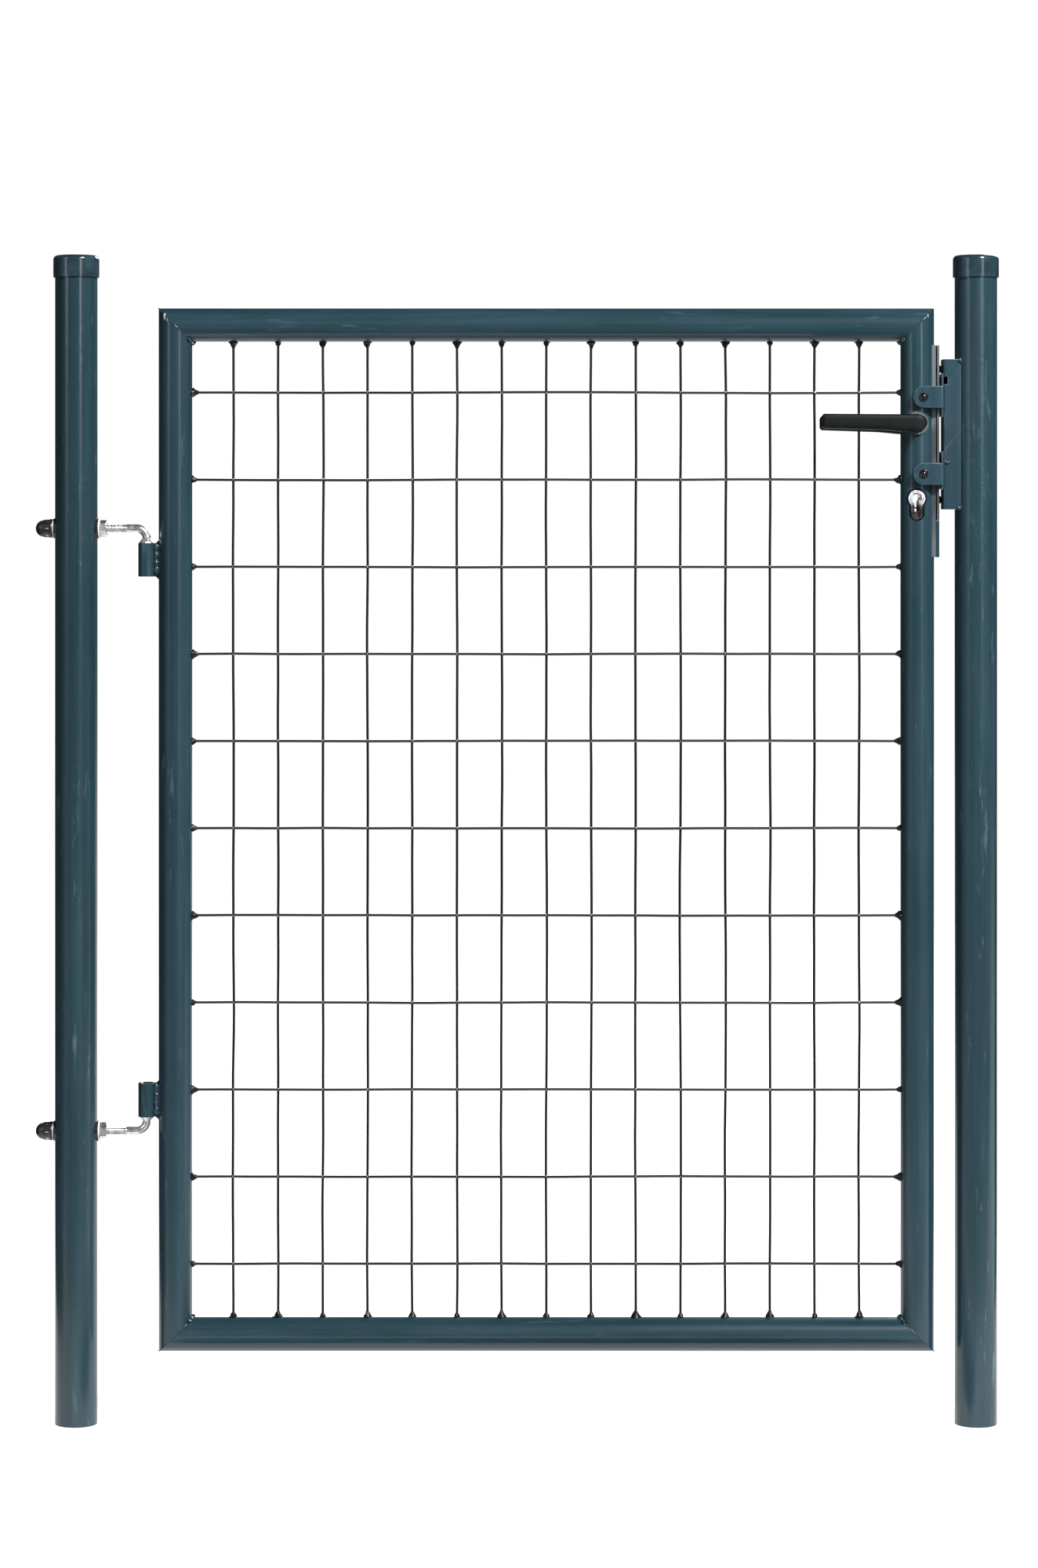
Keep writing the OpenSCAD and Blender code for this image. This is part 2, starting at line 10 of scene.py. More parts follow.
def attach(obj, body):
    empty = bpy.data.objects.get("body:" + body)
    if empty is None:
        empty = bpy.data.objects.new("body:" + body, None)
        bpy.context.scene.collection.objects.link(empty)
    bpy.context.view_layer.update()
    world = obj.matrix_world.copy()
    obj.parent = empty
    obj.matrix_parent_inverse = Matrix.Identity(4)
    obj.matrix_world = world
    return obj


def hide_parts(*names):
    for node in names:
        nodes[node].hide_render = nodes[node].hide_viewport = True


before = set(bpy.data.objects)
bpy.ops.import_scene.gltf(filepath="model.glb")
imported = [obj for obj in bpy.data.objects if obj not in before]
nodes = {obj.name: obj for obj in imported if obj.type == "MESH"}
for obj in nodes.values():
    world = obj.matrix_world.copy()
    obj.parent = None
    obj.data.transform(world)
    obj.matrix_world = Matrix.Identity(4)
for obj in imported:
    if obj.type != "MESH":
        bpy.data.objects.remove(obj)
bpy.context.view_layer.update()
scene = bpy.context.scene

POST_X = (0.0, 1.020)
POST_R = 0.024
HINGE_X = 0.080
HOOK_Z = (1.0145, 0.3315)
LOCK_X = 0.9515
HANDLE_Z = 1.1335
STILE_X = (0.1125, 0.9535)
RAIL_Z = (0.101, 1.245)
TUBE_R = 0.019
UPRIGHTS = [0.1781 + 0.0507 * i for i in range(15)]
LEVELS = [0.181 + 0.09875 * i for i in range(11)]
UPRIGHT_Y, UPRIGHT_R = 0.00142, 0.00152
LEVEL_Y, LEVEL_R = -0.00137, 0.00145
SLEEVES = ((0.960, 0.998), (0.348, 0.386))
WASHER_SEAT, NUT_SEAT = 0.025, 0.0265
LEVER_LENGTH = {"front": 0.110, "rear": 0.1045}
STRIKER_FACE = 0.9815
LATCH_WINDOW, DEAD_WINDOW = (1.1535, 1.1865), (1.0710, 1.0990)
TONGUE_Z = (1.163, 1.076)


# ---------------------------------------------------------------- mesh tools


def across(axis):
    """Two unit vectors square to axis and to each other."""
    axis = Vector(axis).normalized()
    other = Vector((0, 0, 1)) if abs(axis.z) < 0.9 else Vector((1, 0, 0))
    u = axis.cross(other).normalized()
    return u, axis.cross(u).normalized()


class Shape:
    """Several closed shells that become one mesh object."""

    def __init__(self):
        self.verts = []
        self.faces = []

    def rings(self, rings, ends=True):
        """Joins rings of equal length, or single points at the tips, into a closed shell."""
        starts = []
        for ring in rings:
            starts.append(len(self.verts))
            self.verts.extend(tuple(p) for p in ring)
        n = max(len(r) for r in rings)
        for k in range(len(rings) - 1):
            a, b = starts[k], starts[k + 1]
            la, lb = len(rings[k]), len(rings[k + 1])
            for j in range(n):
                i = (j + 1) % n
                if la == 1:
                    self.faces.append((a, b + i, b + j))
                elif lb == 1:
                    self.faces.append((a + j, a + i, b))
                else:
                    self.faces.append((a + j, a + i, b + i, b + j))
        if ends and len(rings[0]) > 1:
            self.faces.append(tuple(starts[0] + j for j in reversed(range(n))))
        if ends and len(rings[-1]) > 1:
            self.faces.append(tuple(starts[-1] + j for j in range(n)))

    def lathe(self, origin, axis, profile, sides=32, shape=None):
        """Turns (along, radius) pairs about axis. shape(along, angle, radius) may change each radius."""
        axis = Vector(axis).normalized()
        u, v = across(axis)
        origin = Vector(origin)
        rings = []
        for t, r in profile:
            if r <= 0:
                rings.append([origin + axis * t])
                continue
            ring = []
            for j in range(sides):
                a = 2 * math.pi * j / sides
                q = shape(t, a, r) if shape else r
                ring.append(origin + axis * t + u * (q * math.cos(a)) + v * (q * math.sin(a)))
            rings.append(ring)
        self.rings(rings)

    def ring_part(self, origin, axis, profile, sides=32, shape=None):
        """Turns a closed (along, radius) outline about axis, for a part with a hole through it."""
        axis = Vector(axis).normalized()
        u, v = across(axis)
        origin = Vector(origin)
        start = len(self.verts)
        m = len(profile)
        for j in range(sides):
            a = 2 * math.pi * j / sides
            for t, r in profile:
                q = shape(t, a, r) if shape else r
                self.verts.append(
                    tuple(origin + axis * t + u * (q * math.cos(a)) + v * (q * math.sin(a)))
                )
        for j in range(sides):
            here, there = start + j * m, start + (j + 1) % sides * m
            for k in range(m):
                n = (k + 1) % m
                self.faces.append((here + k, here + n, there + n, there + k))

    def tube(self, path, radius, sides=12, closed=False, flat=1.0):
        """A round bar along path. radius is a number, or a function of (index, angle)."""
        path = [Vector(p) for p in path]
        n = len(path)
        u = None
        rings = []
        for k, p in enumerate(path):
            if closed:
                d = path[(k + 1) % n] - path[k - 1]
            else:
                d = path[min(k + 1, n - 1)] - path[max(k - 1, 0)]
            d.normalize()
            if u is None:
                u = across(d)[0]
            u = (u - d * u.dot(d)).normalized()
            v = d.cross(u)
            ring = []
            for j in range(sides):
                a = 2 * math.pi * j / sides
                r = radius(k, a) if callable(radius) else radius
                ring.append(p + u * (r * math.cos(a)) + v * (r * flat * math.sin(a)))
            rings.append(ring)
        if closed:
            start = len(self.verts)
            for ring in rings:
                self.verts.extend(tuple(q) for q in ring)
            for k in range(n):
                for j in range(sides):
                    a, b = start + k * sides, start + ((k + 1) % n) * sides
                    i = (j + 1) % sides
                    self.faces.append((a + j, a + i, b + i, b + j))
        else:
            self.rings(rings)

    def blob(self, centre, radii, seed, rough=0.18, sides=12):
        """A lump of weld: an ellipsoid with uneven sides."""
        centre = Vector(centre)
        rings = []
        rows = sides // 2 + 1
        for k in range(rows + 1):
            e = math.pi * k / rows
            if k in (0, rows):
                rings.append([centre + Vector((0, 0, radii[2] * math.cos(e)))])
                continue
            ring = []
            for j in range(sides):
                a = 2 * math.pi * j / sides
                d = Vector((math.sin(e) * math.cos(a), math.sin(e) * math.sin(a), math.cos(e)))
                g = 1 + rough * noise.noise(d * 1.7 + Vector((seed * 3.1, seed * 1.7, seed * 0.9)))
                ring.append(centre + Vector((d.x * radii[0], d.y * radii[1], d.z * radii[2])) * g)
            rings.append(list(reversed(ring)))
        self.rings(rings)

    def object(self, name, material, body, slot, replaces=(), angle=35):
        """Makes the mesh object, smooth below angle, and puts it on its body."""
        mesh = bpy.data.meshes.new(name)
        mesh.from_pydata(self.verts, [], self.faces)
        mesh.validate()
        mesh.materials.append(material)
        mesh.polygons.foreach_set("use_smooth", [True] * len(mesh.polygons))
        mesh.set_sharp_from_angle(angle=math.radians(angle))
        mesh.update()
        piece = bpy.data.objects.new(name, mesh)
        scene.collection.objects.link(piece)
        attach(piece, body)
        if replaces:
            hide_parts(*replaces)
        return piece


def bevel(piece, width, segments=2, angle=40, edge=None):
    """Rounds the edges. edge is a second material for the rounded strips."""
    mod = piece.modifiers.new("edges", "BEVEL")
    mod.width = width
    mod.segments = segments
    mod.limit_method = "ANGLE"
    mod.angle_limit = math.radians(angle)
    mod.harden_normals = False
    if edge is not None:
        piece.data.materials.append(edge)
        mod.material = len(piece.data.materials) - 1


# ---------------------------------------------------------------- finishes


class Finish:
    """A node material on one Principled shader."""

    def __init__(self, name, metallic=0.0, ior=1.5, coat=0.0, coat_rough=0.1):
        self.material = bpy.data.materials.new(name)
        self.material.use_nodes = True
        self.tree = self.material.node_tree
        self.tree.nodes.clear()
        out = self.tree.nodes.new("ShaderNodeOutputMaterial")
        self.shader = self.tree.nodes.new("ShaderNodeBsdfPrincipled")
        self.link(self.shader, "BSDF", out, "Surface")
        self.shader.inputs["Metallic"].default_value = metallic
        self.shader.inputs["IOR"].default_value = ior
        self.shader.inputs["Coat Weight"].default_value = coat
        self.shader.inputs["Coat Roughness"].default_value = coat_rough
        self.where = self.tree.nodes.new("ShaderNodeTexCoord")

    def link(self, a, out, b, into):
        self.tree.links.new(a.outputs[out], b.inputs[into])

    def stretched(self, scale, turn=(0, 0, 0)):
        n = self.tree.nodes.new("ShaderNodeMapping")
        n.vector_type = "TEXTURE"
        n.inputs["Scale"].default_value = [1 / c for c in scale]
        n.inputs["Rotation"].default_value = turn
        self.link(self.where, "Object", n, "Vector")
        return n

    def noise(self, scale, detail=3.0, rough=0.5, stretch=(1, 1, 1), turn=(0, 0, 0), distort=0.0):
        n = self.tree.nodes.new("ShaderNodeTexNoise")
        n.inputs["Scale"].default_value = scale
        n.inputs["Detail"].default_value = detail
        n.inputs["Roughness"].default_value = rough
        n.inputs["Distortion"].default_value = distort
        self.link(self.stretched(stretch, turn), "Vector", n, "Vector")
        return n

    def ramp(self, source, stops, out="Fac"):
        n = self.tree.nodes.new("ShaderNodeValToRGB")
        ramp = n.color_ramp
        while len(ramp.elements) < len(stops):
            ramp.elements.new(0.5)
        for element, (at, colour) in zip(ramp.elements, stops):
            element.position = at
            if not isinstance(colour, tuple):
                colour = (colour,) * 3
            element.color = (*colour, 1.0)
        self.link(source, out, n, "Fac")
        return n

    def mix(self, share, a, b, kind="MIX"):
        """a and b are nodes with a Color output, or colours. share is such a node or a number."""
        n = self.tree.nodes.new("ShaderNodeMix")
        n.data_type = "RGBA"
        n.blend_type = kind
        for value, socket in ((a, 6), (b, 7)):
            if isinstance(value, tuple):
                n.inputs[socket].default_value = (*value, 1.0)
            else:
                self.tree.links.new(self.colour_of(value), n.inputs[socket])
        if isinstance(share, (int, float)):
            n.inputs[0].default_value = share
        else:
            self.tree.links.new(self.colour_of(share), n.inputs[0])
        return n

    @staticmethod
    def colour_of(node):
        if node.bl_idname == "ShaderNodeMix":
            return node.outputs[2]
        return node.outputs["Color"]

    def colour(self, node):
        self.tree.links.new(self.colour_of(node), self.shader.inputs["Base Color"])

    def rough(self, source, low, high):
        n = self.tree.nodes.new("ShaderNodeMapRange")
        n.inputs["From Min"].default_value = 0.3
        n.inputs["From Max"].default_value = 0.7
        n.inputs["To Min"].default_value = low
        n.inputs["To Max"].default_value = high
        self.link(source, "Fac", n, "Value")
        self.link(n, "Result", self.shader, "Roughness")

    def bump(self, layers):
        """layers is a list of (node with Fac or Color, height in metres)."""
        last = None
        for source, height in layers:
            n = self.tree.nodes.new("ShaderNodeBump")
            n.inputs["Strength"].default_value = 1.0
            n.inputs["Distance"].default_value = height
            if source.bl_idname == "ShaderNodeTexNoise":
                self.link(source, "Fac", n, "Height")
            else:
                self.tree.links.new(self.colour_of(source), n.inputs["Height"])
            if last is not None:
                self.link(last, "Normal", n, "Normal")
            last = n
        self.link(last, "Normal", self.shader, "Normal")


def srgb(r, g, b):
    """A linear colour from 0-255 screen values."""
    def one(c):
        c /= 255
        return c / 12.92 if c <= 0.04045 else ((c + 0.055) / 1.055) ** 2.4

    return (one(r), one(g), one(b))


def paint(name, tone, streak=(1, 1, 0.04), shine=(0.16, 0.30), scuffs=0.0, scratches=0.0,
          lumps=0.00003, ior=1.5):
    """Glossy paint over steel: faint runs, mottling, crinkles, pale flecks and scratches."""
    f = Finish(name, ior=ior)
    runs = f.noise(75, 3, 0.6, stretch=streak)
    base = f.ramp(
        runs,
        [(0.30, tuple(c * 0.78 for c in tone)), (0.52, tone), (0.74, tuple(c * 1.28 for c in tone))],
    )
    patches = f.noise(14, 3, 0.55, stretch=tuple(1.6 if c == 1 else 0.6 for c in streak))
    cool = f.ramp(patches, [(0.36, (0.80, 0.93, 0.90)), (0.52, (1.0, 1.0, 1.0)), (0.66, (1.18, 1.04, 1.06))])
    colour = f.mix(1.0, base, cool, "MULTIPLY")
    pale = tuple(min(1.0, c * 2.6 + 0.07) for c in tone)
    if scuffs:
        fleck = f.noise(150, 5, 0.62, stretch=tuple(1 if c == 1 else 0.13 for c in streak), distort=0.5)
        where = f.noise(8, 1, 0.5)
        lots = f.ramp(fleck, [(0.60, 0.0), (0.70, scuffs), (0.80, scuffs * 1.6)])
        some = f.ramp(where, [(0.44, 0.15), (0.60, 1.0)])
        colour = f.mix(f.mix(1.0, lots, some, "MULTIPLY"), colour, pale)
    if scratches:
        line = f.noise(330, 2, 0.5, stretch=(1, 1, 0.05), turn=(0, 0.7, 0))
        colour = f.mix(f.ramp(line, [(0.66, 0.0), (0.70, scratches), (0.76, scratches)]), colour, pale)
    f.colour(colour)
    f.rough(f.noise(24, 4, 0.6, stretch=streak), *shine)
    peel = f.noise(420, 2, 0.5)
    drift = f.noise(60, 2, 0.5, stretch=streak)
    crinkle = f.ramp(f.noise(190, 3, 0.55), [(0.50, 0.0), (0.70, 1.0)])
    patch = f.ramp(f.noise(5, 1, 0.5), [(0.45, 0.2), (0.60, 1.0)])
    f.bump([(peel, 0.00004), (drift, 0.00016), (f.mix(1.0, crinkle, patch, "MULTIPLY"), lumps)])
    return f.material


def bright_zinc(name, tone=(0.80, 0.80, 0.78), dark=(0.42, 0.42, 0.41), shine=(0.16, 0.34)):
    """Electroplated zinc with a slightly cloudy, finely brushed face."""
    f = Finish(name, metallic=0.9)
    cloud = f.noise(160, 4, 0.6)
    spots = f.noise(900, 2, 0.5)
    base = f.ramp(cloud, [(0.30, dark), (0.50, tuple((a + b) / 2 for a, b in zip(tone, dark))), (0.68, tone)])
    grime = f.ramp(spots, [(0.62, (1.0, 1.0, 1.0)), (0.78, (0.55, 0.53, 0.50))])
    f.colour(f.mix(1.0, base, grime, "MULTIPLY"))
    f.rough(cloud, *shine)
    f.bump([(spots, 0.00002)])
    return f.material


def keyed_zinc(name):
    """Zinc of the key insert, bright round the key's hole, with painted shade making it dark below the hole.
    """
    f = Finish(name, metallic=0.7)
    cloud = f.noise(420, 4, 0.6, stretch=(1, 1, 0.5))
    parts = f.tree.nodes.new("ShaderNodeSeparateXYZ")
    f.link(f.where, "Object", parts, "Vector")
    # painted shade: below this height the insert is coloured dark, as if shadowed in its recess
    shade_mask_z = f.tree.nodes.new("ShaderNodeMapRange")
    shade_mask_z.inputs["From Min"].default_value = 1.0395
    shade_mask_z.inputs["From Max"].default_value = 1.0450
    f.link(parts, "Z", shade_mask_z, "Value")
    bright = f.ramp(cloud, [(0.36, (0.50, 0.50, 0.50)), (0.50, (0.80, 0.80, 0.79)),
        (0.66, (0.95, 0.95, 0.94))])
    painted_shade_below = f.ramp(cloud, [(0.40, (0.012, 0.012, 0.014)), (0.60, (0.07, 0.065, 0.07))])
    f.colour(f.mix(f.ramp(shade_mask_z, [(0.0, 0.0), (1.0, 1.0)], "Result"), painted_shade_below, bright))
    f.rough(cloud, 0.28, 0.46)
    f.bump([(f.noise(900, 2, 0.5), 0.00002)])
    return f.material


def moulded(name, tone, shine=(0.25, 0.4), grain=0.00003, pale=1.6, ior=1.5):
    """Moulded plastic or rubber with a fine grain."""
    f = Finish(name, ior=ior)
    patch = f.noise(70, 4, 0.6)
    f.colour(f.ramp(patch, [(0.35, tuple(c * 0.8 for c in tone)), (0.65, tuple(c * pale for c in tone))]))
    f.rough(f.noise(260, 3, 0.5), *shine)
    f.bump([(f.noise(1500, 2, 0.5), grain)])
    return f.material


def dull_steel(name, tone, stripe, shine=(0.35, 0.55)):
    """Rolled or ground steel with lines along Z and dark patches."""
    f = Finish(name, metallic=0.65)
    lines = f.noise(420, 3, 0.6, stretch=(1, 1, 0.03))
    patch = f.noise(38, 4, 0.6, stretch=(1, 1, 0.3))
    base = f.ramp(lines, [(0.35, tuple(c * 0.7 for c in tone)), (0.65, tone)])
    mask = f.ramp(patch, [(0.45, 0.0), (0.62, 0.7)])
    f.colour(f.mix(mask, base, stripe))
    f.rough(lines, *shine)
    f.bump([(lines, 0.00003)])
    return f.material


LEAF = srgb(32, 55, 64)
POST = srgb(31, 54, 62)
mats = {
    "post_paint": paint("post_paint", POST, scuffs=0.45, lumps=0.00005),
    "leaf_paint": paint("leaf_paint", LEAF, scuffs=0.3),
    "striker_paint": paint("striker_paint", srgb(34, 56, 66), shine=(0.20, 0.32), scuffs=0.25,
        scratches=0.12),
    "cap_plastic": moulded("cap_plastic", srgb(29, 47, 54), shine=(0.10, 0.22)),
    "zinc": bright_zinc("zinc", (0.90, 0.90, 0.89), (0.50, 0.50, 0.50)),
    "black_plastic": moulded("black_plastic", (0.010, 0.010, 0.011), shine=(0.22, 0.34)),
    "rubber": moulded("rubber", (0.006, 0.006, 0.007), shine=(0.12, 0.22)),
    "wire_paint": paint("wire_paint", srgb(9, 13, 14), shine=(0.3, 0.45), ior=1.35),
    "pocket_steel": dull_steel("pocket_steel", srgb(104, 111, 114), srgb(40, 44, 47)),
    "lock_steel": dull_steel("lock_steel", srgb(108, 114, 117), srgb(46, 49, 52)),
    "insert_zinc": keyed_zinc("insert_zinc"),
    "spring_steel": bright_zinc("spring_steel", (0.5, 0.5, 0.5), (0.3, 0.3, 0.3)),
    "handle_black": moulded("handle_black", srgb(8, 11, 12), shine=(0.46, 0.60), grain=0.00005, ior=1.25),
    "black_screw": moulded("black_screw", (0.008, 0.008, 0.009), shine=(0.15, 0.3)),
    "bolt_brass": dull_steel("bolt_brass", srgb(70, 66, 60), srgb(24, 22, 22)),
}
rail_paint = paint("rail_paint", LEAF, streak=(0.04, 1, 1), scuffs=0.2)

for node in nodes.values():
    for used in node.material_slots:
        used.material = mats[used.material.name.split(".")[0]]
for name in ("top_rail", "bottom_rail"):
    for used in nodes[name].material_slots:
        used.material = rail_paint
rose_zinc = dull_steel("rose_zinc", srgb(128, 136, 139), srgb(70, 78, 82), (0.22, 0.36))
for name in ("front_rose", "rear_rose"):
    bevel(nodes[name], 0.0009, 3, 50)
    for used in nodes[name].material_slots:
        used.material = rose_zinc


# ---------------------------------------------------------------- mesh of wires

rng = random.Random(7)


def wavy(length_points, along, across_axis, size, seed):
    """Points of a wire that drifts by about size, but not at its ends."""
    out = []
    for k, p in enumerate(length_points):
        t = p.dot(Vector(along))
        fade = min(1.0, k / 3, (len(length_points) - 1 - k) / 3)
        d = noise.noise(Vector((t * 4.5, seed * 7.3, 0.3)))
        d = d + 0.4 * noise.noise(Vector((t * 14, seed * 3.3, 4.1)))
        out.append(p + Vector(across_axis) * (size * fade * d))
    return out


wires = Shape()
for i, x in enumerate(UPRIGHTS):
    line = [Vector((x, UPRIGHT_Y, 0.1195 + 1.107 * k / 48)) for k in range(49)]
    wires.tube(wavy(line, (0, 0, 1), (1, 0, 0), 0.0012, i), UPRIGHT_R, 10)
wires.object("upright_wire_rods", mats["wire_paint"], "leaf", "wire_paint", ["upright_wires"])

level_paint = paint("level_wire_paint", srgb(26, 36, 35), streak=(0.04, 1, 1), shine=(0.3, 0.45), ior=1.4)
wires = Shape()
for i, z in enumerate(LEVELS):
    line = [Vector((0.1312 + 0.8036 * k / 48, LEVEL_Y, z)) for k in range(49)]
    wires.tube(wavy(line, (1, 0, 0), (0, 0, 1), 0.0009, 40 + i), LEVEL_R, 10)
wires.object("level_wire_rods", level_paint, "leaf", "wire_paint", ["level_wires"])

dots = Shape()
for i, x in enumerate(UPRIGHTS):
    for j, z in enumerate(LEVELS):
        place = (x + rng.uniform(-2, 2) * 1e-4, -0.0014, z)
        dots.blob(place, (0.0021, 0.0016, 0.0018), i * 17 + j, 0.2, 8)
# painted highlight: the weld dot at each crossing is coloured far lighter than the wire paint, standing in
# for the light it catches
crossing_highlight_paint = paint("crossing_weld_highlight_paint", srgb(84, 104, 102), shine=(0.25, 0.4))
dots.object("crossing_welds", crossing_highlight_paint, "leaf", "wire_paint")


def wire_weld(shape, tip, out, seed):
    """The uneven collar of weld where a wire meets the frame. out points away from the tube."""
    size = 1.15 + 0.25 * math.sin(seed * 2.3)

    def uneven(t, a, r):
        d = Vector((math.cos(a), math.sin(a), t * 400))
        return r * (1 + 0.5 * noise.noise(d * 1.3 + Vector((seed * 1.9, 0, 0))))

    shape.lathe(
        Vector(tip) - Vector(out) * 0.0012,
        out,
        [(0, 0.0038 * size), (0.0014, 0.0040 * size), (0.0030, 0.0034 * size), (0.0046, 0.0025 * size),
            (0.0064 * size, 0.0015)],
        12,
        uneven,
    )


beads = Shape()
for i, x in enumerate(UPRIGHTS):
    wire_weld(beads, (x, UPRIGHT_Y, 0.120), (0, 0, 1), i)
    wire_weld(beads, (x, UPRIGHT_Y, 1.226), (0, 0, -1), 20 + i)
for i, z in enumerate(LEVELS):
    wire_weld(beads, (0.1315, LEVEL_Y, z), (1, 0, 0), 40 + i)
    wire_weld(beads, (0.9345, LEVEL_Y, z), (-1, 0, 0), 60 + i)
beads.object("wire_end_welds", mats["wire_paint"], "leaf", "leaf_paint", angle=50)

# ---------------------------------------------------------------- mitred corners


def mitre_bead(shape, x, z, inward, seed):
    """Weld bead round the mitre of two tubes that meet at x, z. inward points into the mesh."""
    d = Vector((inward[0], 0, inward[1])).normalized()
    path = []
    count = 96
    for k in range(count):
        t = 2 * math.pi * k / count
        out = d * (math.cos(t) * TUBE_R * math.sqrt(2))
        path.append(Vector((x, 0, z)) + out + Vector((0, math.sin(t) * TUBE_R, 0)))

    def ripple(k, a):
        uneven = noise.noise(Vector((k * 0.21, seed * 4.0, 0)))
        return 0.0005 + 0.0002 * abs(math.sin(k * 0.9)) + 0.0003 * uneven

    shape.tube(path, ripple, 8, closed=True)
    inner = Vector((x, 0, z)) + d * (TUBE_R * math.sqrt(2))
    for k, (dx, dy) in enumerate(((0.0004, 0.0), (-0.0012, -0.0062), (-0.0034, -0.0112), (-0.0012, 0.0062))):
        p = inner + d * dx + Vector((0, dy, 0))
        shape.blob(p, (0.0034 - 0.0005 * k, 0.0034, 0.0034 - 0.0005 * k), seed * 9 + k, 0.5)


seams = Shape()
for n, (x, z, way) in enumerate(
    (
        (STILE_X[0], RAIL_Z[1], (1, -1)),
        (STILE_X[1], RAIL_Z[1], (-1, -1)),
        (STILE_X[0], RAIL_Z[0], (1, 1)),
        (STILE_X[1], RAIL_Z[0], (-1, 1)),
    )
):
    mitre_bead(seams, x, z, way, n + 1)
seams.object("corner_weld_seams", mats["leaf_paint"], "leaf", "leaf_paint", angle=60)
bare = Shape()
for n, (x, y, z, size) in enumerate(
    (
        (0.1016, -0.0160, 1.2545, 0.0042), (0.1046, -0.0172, 1.2505, 0.0024),
        (0.9642, -0.0160, 1.2545, 0.0022),
        (0.1310, -0.0045, 0.1192, 0.0018), (0.9350, -0.0045, 0.1192, 0.0018),
        (0.1328, -0.0070, 1.2245, 0.0014),
    )
):
    bare.blob((x, y, z), (size * 0.42, size * 0.35, size), 210 + n, 0.5)
bare.object("bare_weld_spots", mats["zinc"], "leaf", "zinc", angle=60)

# ---------------------------------------------------------------- hinges


def hook(shape, z, down):
    """Threaded rod from behind the post, bent a right angle into the pin."""
    pitch, major, minor, tip = 0.0015, 0.0047, 0.0041, 0.0040
    start, stop, bend, pin_end = -0.0382, 0.059, 0.0115, 0.0485
    path, radii = [], []
    steps = int((stop - start) / pitch * 8)
    for k in range(steps + 1):
        path.append(Vector((start + (stop - start) * k / steps, 0, z)))
        radii.append(("thread", path[-1].x))
    for k in range(1, 5):
        path.append(Vector((stop + (HINGE_X - bend - stop) * k / 4, 0, z)))
        radii.append(("plain", 0))
    side = -1 if down else 1
    for k in range(1, 13):
        a = math.pi / 2 * k / 12
        path.append(Vector((HINGE_X - bend + bend * math.sin(a), 0, z + side * bend * (1 - math.cos(a)))))
        radii.append(("plain", 0))
    for k in range(1, 16):
        path.append(Vector((HINGE_X, 0, z + side * (bend + (pin_end - bend) * k / 15))))
        radii.append(("plain", 0))

    def radius(k, a):
        kind, x = radii[k]
        if kind == "plain":
            return major if k < len(radii) - 1 else tip
        turn = (x / pitch - a / (2 * math.pi)) % 1.0
        tooth = 1 - abs(2 * turn - 1)
        fade = min(1.0, (stop - x) / 0.003)
        return major - (major - minor) * fade * (1 - tooth)

    def dented(t, a, r):
        dent = 0.07 * math.sin(2 * a + 0.6) + 0.05 * math.sin(5 * a) - 0.06
        return r * (1 + dent * min(1.0, max(0.0, (r - 0.005) * 300)))

    shape.tube(path, radius, 24)
    shape.lathe(
        (HINGE_X, 0, z),
        (0, 0, side),
        [(0.0108, 0.0046), (0.0114, 0.0055), (0.0128, 0.0062), (0.0146, 0.0080), (0.0157, 0.0089),
            (0.0163, 0.0090), (0.0163, 0.0046)],
        40,
        dented,
    )


def hexagon(flat, corner_turn=0.0):
    """Radius of a hexagon flat-to-flat at each angle, for Shape.ring_part."""

    def shape(t, a, r):
        if r < flat * 0.42:
            return r
        b = (a + corner_turn) % (math.pi / 3) - math.pi / 6
        return min(flat / 2 / math.cos(b), r)

    return shape


NUT = [
    (0.0, 0.0050), (0.0, 0.0083), (0.0004, 0.0090), (0.0011, 0.00985), (0.0026, 0.0105), (0.0059, 0.0105),
    (0.0074, 0.00985), (0.0081, 0.0090), (0.0085, 0.0083), (0.0085, 0.0052), (0.0078, 0.0046),
    (0.0007, 0.0046),
]
WASHER = [(0.0, 0.0049), (0.0, 0.0104), (0.0003, 0.01085), (0.00075, 0.0110), (0.0012, 0.01085),
    (0.0015, 0.0104), (0.0015, 0.0049)]

for n, z in enumerate(HOOK_Z):
    level = ("upper", "lower")[n]
    bar = Shape()
    hook(bar, z, n == 0)
    bar.object(level + "_hook_rod", mats["zinc"], "posts", "zinc", [level + "_hook_bolt"], angle=50)
nuts, washers = Shape(), Shape()
for z in HOOK_Z:
    for side, turn in ((-1, 0), (1, 40 if z > 1 else 30)):
        nuts.ring_part((side * NUT_SEAT, 0, z), (side, 0, 0), NUT, 96, hexagon(0.017, math.radians(turn)))
        washers.ring_part((side * WASHER_SEAT, 0, z), (side, 0, 0), WASHER, 48)
nuts.object("hook_nuts", mats["zinc"], "posts", "zinc", ["hinge_nuts"], angle=28)
white = moulded("washer_white", (0.62, 0.62, 0.60), shine=(0.25, 0.4), pale=1.3)
washers.object("hook_washers", white, "posts", "zinc", ["hinge_washers"])

covers = Shape()
for z in HOOK_Z:
    dome = [(0.0003, 0.0090), (0.0003, 0.0103), (0.0009, 0.0107), (0.0030, 0.0107), (0.0036, 0.0103),
        (0.0040, 0.0102)]
    dome += [(0.0090, 0.0101), (0.0103, 0.0098), (0.0108, 0.0093)]
    dome += [(0.0108 + 0.0086 * math.sin(a), 0.0092 * math.cos(a)) for a in (0.12, 0.3, 0.5, 0.7, 0.9,
        1.1, 1.3, 1.45)]
    dome.append((0.0194, 0.0))

    def skirt(t, a, r):
        if not 0.0038 < t < 0.0107:
            return r
        b = (a + 0.35) % (math.pi / 3) - math.pi / 6
        return min(r, 0.0094 / math.cos(b))

    covers.lathe((-NUT_SEAT, 0, z), (-1, 0, 0), [(0.0, 0.0)] + dome, 72, skirt)
covers.object("bolt_end_covers", mats["black_plastic"], "posts", "black_plastic", ["bolt_caps"], angle=40)

